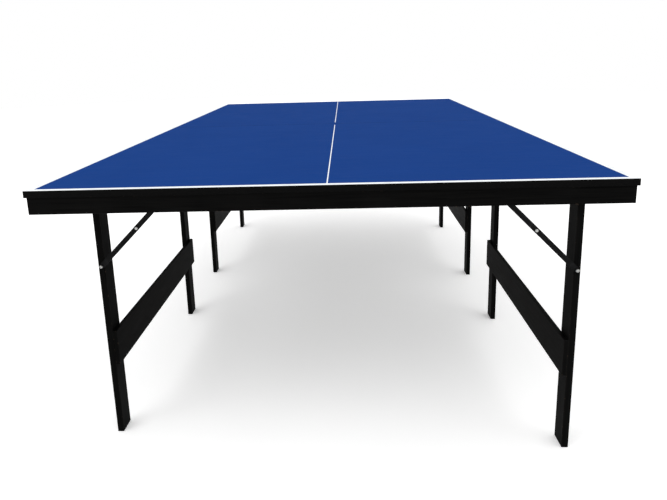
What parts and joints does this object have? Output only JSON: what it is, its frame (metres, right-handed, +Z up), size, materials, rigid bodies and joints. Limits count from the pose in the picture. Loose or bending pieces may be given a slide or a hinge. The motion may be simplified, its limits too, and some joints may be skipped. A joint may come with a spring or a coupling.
{
  "type": "table tennis table",
  "caption": "Full-size blue table tennis table made as two half tables end to end, each on folding black timber leg frames with steel braces.",
  "frame": {"origin": "on the floor under the middle of the table", "axes": "+Z up, +Y along the table's length from the front half to the rear half, +X across it to the right"},
  "size_m": [1.525, 2.74, 0.76],
  "materials": {
    "blue_board": "matte blue paint with white court lines and black edges",
    "black_timber": "satin black paint",
    "black_steel": "satin black powder coat",
    "zinc_steel": "bright zinc plate"
  },
  "bodies": {
    "front_table_half": {"front_playing_board": "blue_board", "front_near_end_rail": "black_timber", "front_far_end_rail": "black_timber", "front_left_side_rail": "black_timber", "front_right_side_rail": "black_timber", "front_left_braced_leg_hanger": "black_timber", "front_left_braced_leg_pivot_bolt": "zinc_steel", "front_left_plain_leg_hanger": "black_timber", "front_left_plain_leg_pivot_bolt": "zinc_steel", "front_left_brace_top_screw": "zinc_steel", "front_right_braced_leg_hanger": "black_timber", "front_right_braced_leg_pivot_bolt": "zinc_steel", "front_right_plain_leg_hanger": "black_timber", "front_right_plain_leg_pivot_bolt": "zinc_steel", "front_right_brace_top_screw": "zinc_steel"},
    "front_left_leg_frame": {"front_left_braced_leg": "black_timber", "front_left_plain_leg": "black_timber", "front_left_stretcher": "black_timber", "front_left_brace_leg_bolt": "zinc_steel"},
    "front_left_lower_link": {"front_left_lower_brace_link": "black_steel"},
    "front_left_upper_link": {"front_left_upper_brace_link": "black_steel", "front_left_brace_middle_rivet": "zinc_steel"},
    "front_right_leg_frame": {"front_right_braced_leg": "black_timber", "front_right_plain_leg": "black_timber", "front_right_stretcher": "black_timber", "front_right_brace_leg_bolt": "zinc_steel"},
    "front_right_lower_link": {"front_right_lower_brace_link": "black_steel"},
    "front_right_upper_link": {"front_right_upper_brace_link": "black_steel", "front_right_brace_middle_rivet": "zinc_steel"},
    "rear_table_half": {"rear_playing_board": "blue_board", "rear_near_end_rail": "black_timber", "rear_far_end_rail": "black_timber", "rear_left_side_rail": "black_timber", "rear_right_side_rail": "black_timber", "rear_left_braced_leg_hanger": "black_timber", "rear_left_braced_leg_pivot_bolt": "zinc_steel", "rear_left_plain_leg_hanger": "black_timber", "rear_left_plain_leg_pivot_bolt": "zinc_steel", "rear_left_brace_top_screw": "zinc_steel", "rear_right_braced_leg_hanger": "black_timber", "rear_right_braced_leg_pivot_bolt": "zinc_steel", "rear_right_plain_leg_hanger": "black_timber", "rear_right_plain_leg_pivot_bolt": "zinc_steel", "rear_right_brace_top_screw": "zinc_steel"},
    "rear_left_leg_frame": {"rear_left_braced_leg": "black_timber", "rear_left_plain_leg": "black_timber", "rear_left_stretcher": "black_timber", "rear_left_brace_leg_bolt": "zinc_steel"},
    "rear_left_lower_link": {"rear_left_lower_brace_link": "black_steel"},
    "rear_left_upper_link": {"rear_left_upper_brace_link": "black_steel", "rear_left_brace_middle_rivet": "zinc_steel"},
    "rear_right_leg_frame": {"rear_right_braced_leg": "black_timber", "rear_right_plain_leg": "black_timber", "rear_right_stretcher": "black_timber", "rear_right_brace_leg_bolt": "zinc_steel"},
    "rear_right_lower_link": {"rear_right_lower_brace_link": "black_steel"},
    "rear_right_upper_link": {"rear_right_upper_brace_link": "black_steel", "rear_right_brace_middle_rivet": "zinc_steel"}
  },
  "joints": [
    {"name": "front_left_leg_fold", "type": "hinge", "parent": "front_table_half", "child": "front_left_leg_frame", "pos_m": [-0.635, -1.249, 0.714], "axis": [0, -1, 0], "range_deg": [0, 90]},
    {"name": "front_left_lower_link_turn", "type": "hinge", "parent": "front_left_leg_frame", "child": "front_left_lower_link", "pos_m": [-0.635, -1.25075, 0.517], "axis": [0, 1, 0], "range_deg": [0, 135]},
    {"name": "front_left_upper_link_turn", "type": "hinge", "parent": "front_table_half", "child": "front_left_upper_link", "pos_m": [-0.425, -1.25375, 0.727], "axis": [0, -1, 0], "range_deg": [0, 129.76]},
    {"name": "front_right_leg_fold", "type": "hinge", "parent": "front_table_half", "child": "front_right_leg_frame", "pos_m": [0.635, -1.341, 0.714], "axis": [0, 1, 0], "range_deg": [0, 90]},
    {"name": "front_right_lower_link_turn", "type": "hinge", "parent": "front_right_leg_frame", "child": "front_right_lower_link", "pos_m": [0.635, -1.34275, 0.517], "axis": [0, -1, 0], "range_deg": [0, 135]},
    {"name": "front_right_upper_link_turn", "type": "hinge", "parent": "front_table_half", "child": "front_right_upper_link", "pos_m": [0.425, -1.34575, 0.727], "axis": [0, 1, 0], "range_deg": [0, 129.76]},
    {"name": "rear_left_leg_fold", "type": "hinge", "parent": "rear_table_half", "child": "rear_left_leg_frame", "pos_m": [-0.635, 0.1215, 0.714], "axis": [0, -1, 0], "range_deg": [0, 90]},
    {"name": "rear_left_lower_link_turn", "type": "hinge", "parent": "rear_left_leg_frame", "child": "rear_left_lower_link", "pos_m": [-0.635, 0.11975, 0.517], "axis": [0, 1, 0], "range_deg": [0, 135]},
    {"name": "rear_left_upper_link_turn", "type": "hinge", "parent": "rear_table_half", "child": "rear_left_upper_link", "pos_m": [-0.425, 0.11675, 0.727], "axis": [0, -1, 0], "range_deg": [0, 129.76]},
    {"name": "rear_right_leg_fold", "type": "hinge", "parent": "rear_table_half", "child": "rear_right_leg_frame", "pos_m": [0.635, 0.0295, 0.714], "axis": [0, 1, 0], "range_deg": [0, 90]},
    {"name": "rear_right_lower_link_turn", "type": "hinge", "parent": "rear_right_leg_frame", "child": "rear_right_lower_link", "pos_m": [0.635, 0.02775, 0.517], "axis": [0, -1, 0], "range_deg": [0, 135]},
    {"name": "rear_right_upper_link_turn", "type": "hinge", "parent": "rear_table_half", "child": "rear_right_upper_link", "pos_m": [0.425, 0.02475, 0.727], "axis": [0, 1, 0], "range_deg": [0, 129.76]},
    {"name": "rear_half_pull_away", "type": "slide", "parent": "front_table_half", "child": "rear_table_half", "axis": [0, 1, 0], "range_m": [0, 0.5]}
  ],
  "couplings": [
    {"joint": "front_left_lower_link_turn", "follows": "front_left_leg_fold", "ratio": 1.5},
    {"joint": "front_left_upper_link_turn", "follows": "front_left_leg_fold", "ratio": 1.4418},
    {"joint": "front_right_lower_link_turn", "follows": "front_right_leg_fold", "ratio": 1.5},
    {"joint": "front_right_upper_link_turn", "follows": "front_right_leg_fold", "ratio": 1.4418},
    {"joint": "rear_left_lower_link_turn", "follows": "rear_left_leg_fold", "ratio": 1.5},
    {"joint": "rear_left_upper_link_turn", "follows": "rear_left_leg_fold", "ratio": 1.4418},
    {"joint": "rear_right_lower_link_turn", "follows": "rear_right_leg_fold", "ratio": 1.5},
    {"joint": "rear_right_upper_link_turn", "follows": "rear_right_leg_fold", "ratio": 1.4418}
  ]
}
